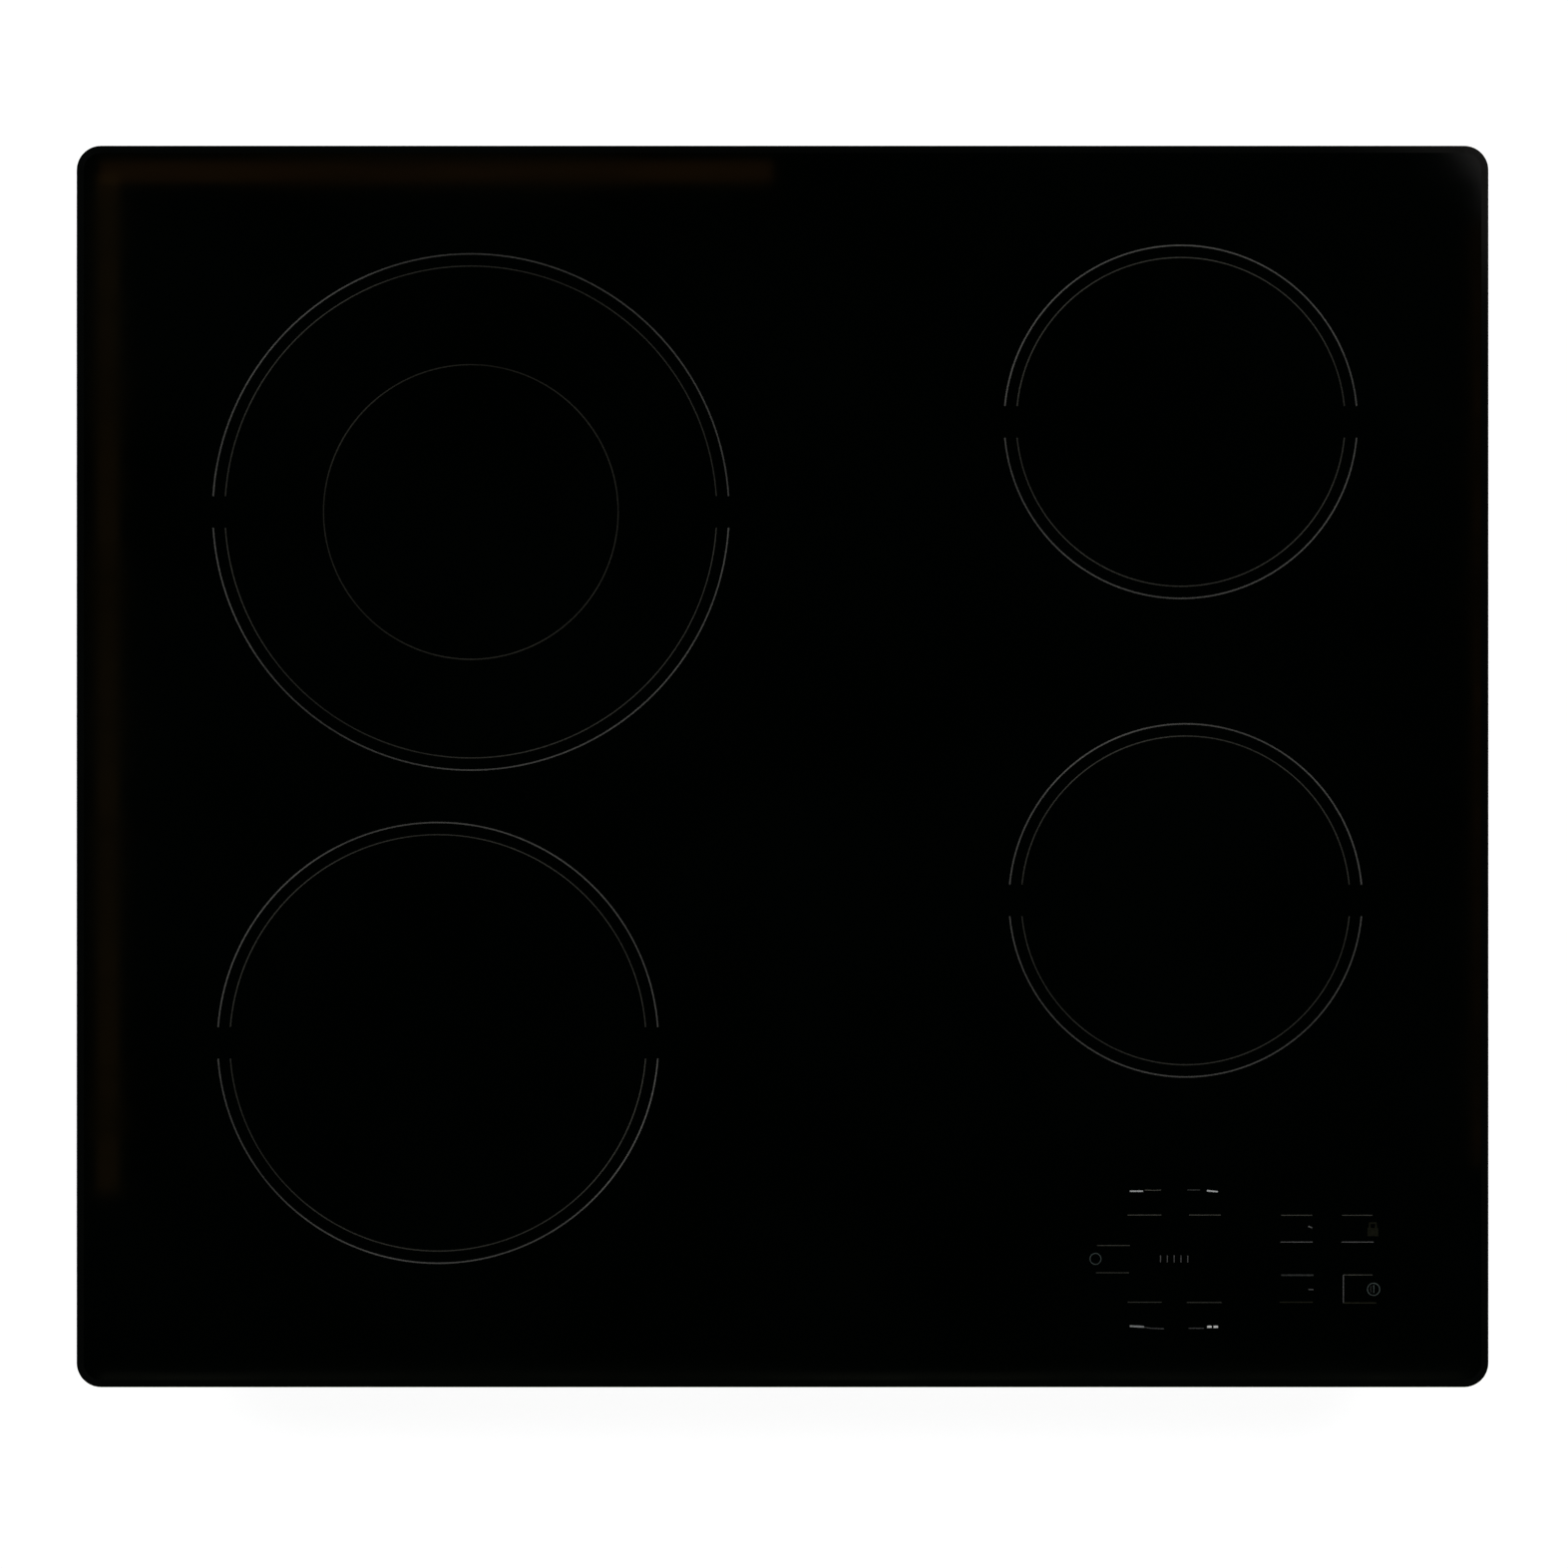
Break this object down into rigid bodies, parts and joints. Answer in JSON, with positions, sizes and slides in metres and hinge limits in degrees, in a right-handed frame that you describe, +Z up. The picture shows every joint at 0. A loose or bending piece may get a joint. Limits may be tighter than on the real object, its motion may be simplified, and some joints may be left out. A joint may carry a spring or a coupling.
{
  "type": "induction cooktop",
  "caption": "Built-in induction cooktop: black glass plate with marked zones and touch keys over a shallow steel pan with worktop clips, coils, blower and a hinged terminal box.",
  "frame": {"origin": "centre of the cooktop in the worktop plane, on which the perimeter seal rests", "axes": "+X to the user's right along the longer side, +Y to the back, +Z up through the glass"},
  "size_m": [0.58, 0.51, 0.0541],
  "materials": {
    "glass_ceramic": "polished black glass-ceramic with a ground facet",
    "enamel_print": "fine grey fired enamel lines",
    "foam_seal": "closed-cell foam",
    "galvanised_steel": "hot-dip galvanised, fine spangle",
    "spring_steel": "bright spring steel",
    "zinc_plated_steel": "zinc plated",
    "aluminium_sheet": "rolled sheet",
    "mica": "pressed mica sheet",
    "former_plastic": "glass-filled moulding",
    "ferrite": "dark ferrite",
    "copper_litz": "enamelled copper litz wire",
    "sensor_ceramic": "white sensor holder",
    "carrier_plastic": "fine-grained moulding",
    "extruded_aluminium": "extruded, mill finish",
    "circuit_board": "green solder mask",
    "component_black": "moulded black plastic",
    "capacitor_film": "film capacitor case",
    "choke_core": "ferrite core with taped winding",
    "motor_steel": "laminated steel stack",
    "pad_rubber": "conductive rubber",
    "display_plastic": "seven-segment display",
    "terminal_moulding": "white thermoplastic"
  },
  "bodies": {
    "chassis": {"glass_top": "glass_ceramic", "zone_rings": "enamel_print", "perimeter_seal": "foam_seal", "bottom_pan": "galvanised_steel", "front_glass_rail": "galvanised_steel", "rear_glass_rail": "galvanised_steel", "left_glass_rail": "galvanised_steel", "right_glass_rail": "galvanised_steel", "front_left_clip": "spring_steel", "rear_left_clip": "spring_steel", "front_right_clip": "spring_steel", "rear_right_clip": "spring_steel", "rear_left_sensor_spring": "spring_steel", "front_left_sensor_spring": "spring_steel", "rear_right_sensor_spring": "spring_steel", "front_right_sensor_spring": "spring_steel", "rail_screws": "zinc_plated_steel", "clip_screws": "zinc_plated_steel", "terminal_screws": "zinc_plated_steel", "coil_tray": "aluminium_sheet", "left_mica_sheet": "mica", "right_mica_sheet": "mica", "rear_left_coil_former": "former_plastic", "front_left_coil_former": "former_plastic", "rear_right_coil_former": "former_plastic", "front_right_coil_former": "former_plastic", "rear_left_ferrites": "ferrite", "front_left_ferrites": "ferrite", "rear_right_ferrites": "ferrite", "front_right_ferrites": "ferrite", "rear_left_inner_winding": "copper_litz", "rear_left_outer_winding": "copper_litz", "front_left_winding": "copper_litz", "rear_right_winding": "copper_litz", "front_right_winding": "copper_litz", "left_board_carrier": "carrier_plastic", "right_board_carrier": "carrier_plastic", "control_bracket": "carrier_plastic", "terminal_box": "carrier_plastic", "left_heat_sink": "extruded_aluminium", "right_heat_sink": "extruded_aluminium", "left_power_board": "circuit_board", "right_power_board": "circuit_board", "control_board": "circuit_board", "power_transistors": "component_black", "blower_housing": "component_black", "filter_capacitors": "capacitor_film", "filter_chokes": "choke_core", "blower_motor": "motor_steel", "touch_pads": "pad_rubber", "displays": "display_plastic", "terminal_block": "terminal_moulding"},
    "blower_wheel": {"blower_rotor": "component_black"},
    "terminal_cover": {"terminal_lid": "carrier_plastic"},
    "rear_left_sensor_plunger": {"rear_left_sensor": "sensor_ceramic"},
    "front_left_sensor_plunger": {"front_left_sensor": "sensor_ceramic"},
    "rear_right_sensor_plunger": {"rear_right_sensor": "sensor_ceramic"},
    "front_right_sensor_plunger": {"front_right_sensor": "sensor_ceramic"}
  },
  "joints": [
    {"name": "blower_spin", "type": "hinge", "parent": "chassis", "child": "blower_wheel", "pos_m": [0.025, 0.152, -0.03], "axis": [0, 0, 1], "continuous": true},
    {"name": "terminal_lid_hinge", "type": "hinge", "parent": "chassis", "child": "terminal_cover", "pos_m": [0.183, 0.2443, -0.0126], "axis": [1, 0, 0], "range_deg": [0, 85]},
    {"name": "rear_left_sensor_slide", "type": "slide", "parent": "chassis", "child": "rear_left_sensor_plunger", "axis": [0, 0, 1], "range_m": [-0.003, 0], "stiffness_N_per_m": 250, "springref_m": 0.002, "deforming": ["rear_left_sensor_spring"]},
    {"name": "front_left_sensor_slide", "type": "slide", "parent": "chassis", "child": "front_left_sensor_plunger", "axis": [0, 0, 1], "range_m": [-0.003, 0], "stiffness_N_per_m": 250, "springref_m": 0.002, "deforming": ["front_left_sensor_spring"]},
    {"name": "rear_right_sensor_slide", "type": "slide", "parent": "chassis", "child": "rear_right_sensor_plunger", "axis": [0, 0, 1], "range_m": [-0.003, 0], "stiffness_N_per_m": 250, "springref_m": 0.002, "deforming": ["rear_right_sensor_spring"]},
    {"name": "front_right_sensor_slide", "type": "slide", "parent": "chassis", "child": "front_right_sensor_plunger", "axis": [0, 0, 1], "range_m": [-0.003, 0], "stiffness_N_per_m": 250, "springref_m": 0.002, "deforming": ["front_right_sensor_spring"]}
  ]
}
